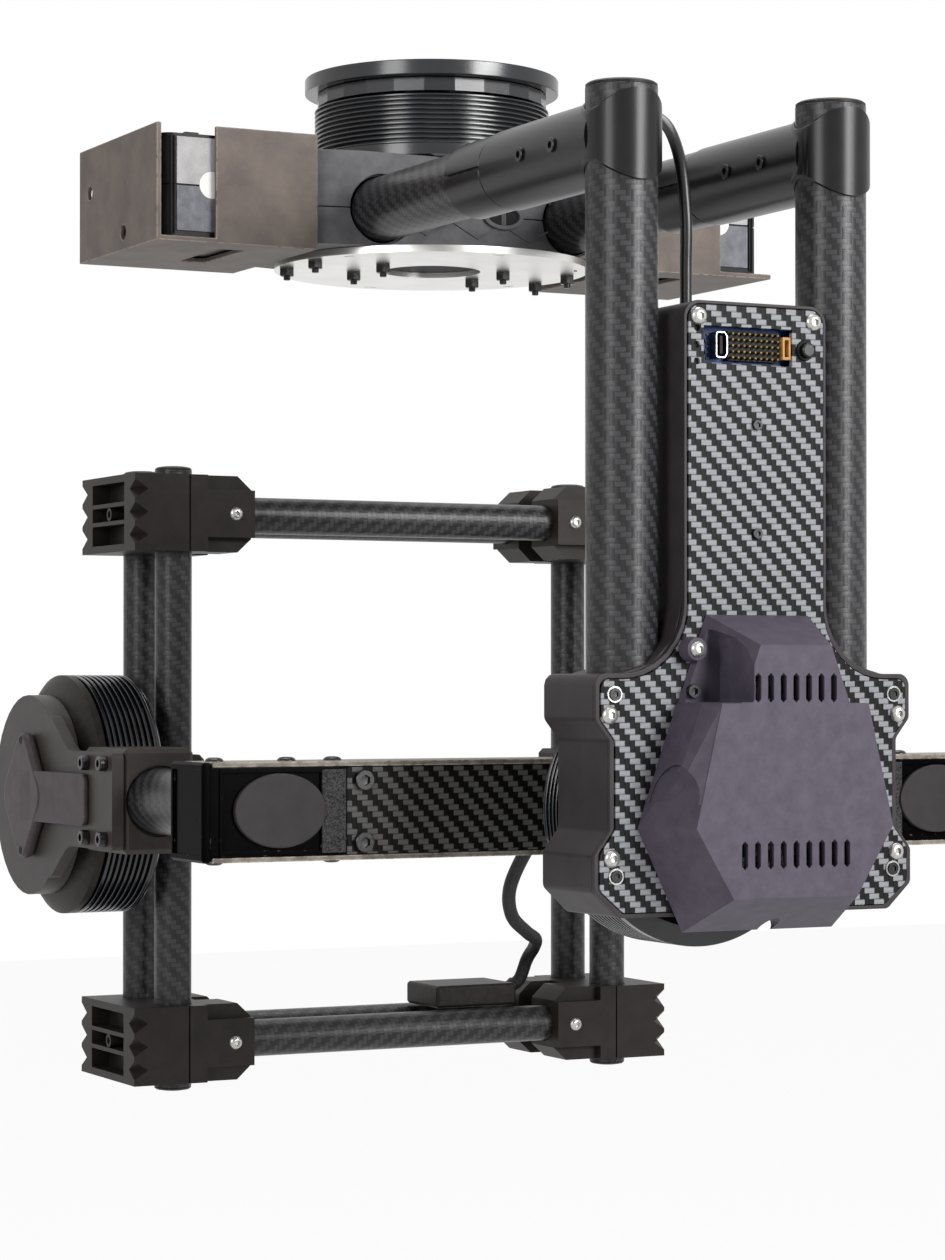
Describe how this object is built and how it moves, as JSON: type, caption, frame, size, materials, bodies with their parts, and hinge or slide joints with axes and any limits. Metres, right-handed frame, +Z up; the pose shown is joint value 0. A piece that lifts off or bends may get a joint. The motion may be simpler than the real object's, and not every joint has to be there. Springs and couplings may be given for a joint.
{
  "type": "camera gimbal stabilizer",
  "caption": "Three-axis camera gimbal with a pan hub and battery trays, twin carbon masts, roll motor, U-shaped yoke and tilting tube cage that holds a camera.",
  "frame": {"origin": "centre of the top face of the mount plate, on the pan axis", "axes": "+Z up along the pan axis, +Y forward along the roll axis, +X to the right along the tilt axis"},
  "size_m": [0.334, 0.3736, 0.4095],
  "materials": {
    "twill_carbon": "satin",
    "black_anodised": "satin",
    "stator": "satin",
    "steel": "satin",
    "moulded_grey": "matte",
    "moulded_purple_grey": "matte",
    "coated_sheet": "matte",
    "battery_case": "matte",
    "bare_aluminium": "satin",
    "gloss_black": "gloss",
    "circuit_board": "satin",
    "black_rubber": "matte"
  },
  "bodies": {
    "mount": {"mount_plate": "black_anodised", "pan_motor_stator": "stator", "pan_bearing": "steel"},
    "pan": {"pan_motor_bell": "black_anodised", "pan_shaft": "steel", "hub_upper_shell": "moulded_grey", "hub_lower_shell": "moulded_grey", "hub_bottom_plate": "bare_aluminium", "battery_tray_left": "coated_sheet", "battery_tray_right": "coated_sheet", "pan_tube_left": "twill_carbon", "pan_tube_right": "twill_carbon", "tee_left": "black_anodised", "tee_right": "black_anodised", "upright_tube_left": "twill_carbon", "upright_tube_right": "twill_carbon", "pan_cable": "black_rubber", "roll_housing": "moulded_grey", "controller_plate": "twill_carbon", "controller_board": "circuit_board", "rear_cover": "moulded_purple_grey", "roll_motor_stator": "stator", "roll_bearing": "steel"},
    "yoke": {"roll_motor_bell": "black_anodised", "roll_shaft": "steel", "beam_rear_plate": "twill_carbon", "beam_front_plate": "twill_carbon", "beam_top_strip": "bare_aluminium", "beam_bottom_strip": "bare_aluminium", "elbow_left": "gloss_black", "elbow_right": "gloss_black"},
    "arms": {"arm_tube_left": "twill_carbon", "arm_tube_right": "twill_carbon", "tilt_mount_block": "moulded_grey", "tilt_end_plate": "moulded_grey", "encoder_cap": "moulded_grey", "tilt_motor_stator": "stator", "idler_block": "moulded_grey", "idler_bearing": "steel"},
    "cage": {"tilt_motor_bell": "black_anodised", "idler_shaft": "steel", "cage_clamp_left": "moulded_grey", "cage_clamp_right": "moulded_grey", "cage_upright_left_rear": "twill_carbon", "cage_upright_left_front": "twill_carbon", "cage_upright_right_rear": "twill_carbon", "cage_upright_right_front": "twill_carbon", "cage_cross_top_rear": "twill_carbon", "cage_cross_top_front": "twill_carbon", "cage_cross_bottom_rear": "twill_carbon", "cage_cross_bottom_front": "twill_carbon", "cage_corner_top_left": "moulded_grey", "cage_corner_top_right": "moulded_grey", "cage_corner_bottom_left": "moulded_grey", "cage_corner_bottom_right": "moulded_grey", "imu_box": "moulded_grey", "imu_cable": "black_rubber"},
    "button": {"menu_button": "black_rubber"},
    "battery_pack_left": {"battery_left": "battery_case"},
    "battery_pack_right": {"battery_right": "battery_case"}
  },
  "joints": [
    {"name": "pan", "type": "hinge", "parent": "mount", "child": "pan", "pos_m": [0, 0, 0], "axis": [0, 0, 1], "continuous": true},
    {"name": "roll", "type": "hinge", "parent": "pan", "child": "yoke", "pos_m": [0, -0.214, -0.2915], "axis": [0, 1, 0], "range_deg": [-45, 45]},
    {"name": "arm_slide", "type": "slide", "parent": "yoke", "child": "arms", "axis": [0, 1, 0], "range_m": [-0.01, 0.01]},
    {"name": "tilt", "type": "hinge", "parent": "arms", "child": "cage", "pos_m": [0, 0.05, -0.2915], "axis": [1, 0, 0], "range_deg": [-135, 45], "deforming": ["imu_cable"]},
    {"name": "menu_press", "type": "slide", "parent": "pan", "child": "button", "axis": [0, 1, 0], "range_m": [0, 0.001], "stiffness_N_per_m": 1200, "springref_m": -0.0005},
    {"name": "battery_left_lift", "type": "slide", "parent": "pan", "child": "battery_pack_left", "axis": [0, 0, 1], "range_m": [0, 0.05]},
    {"name": "battery_right_lift", "type": "slide", "parent": "pan", "child": "battery_pack_right", "axis": [0, 0, 1], "range_m": [0, 0.05]}
  ]
}
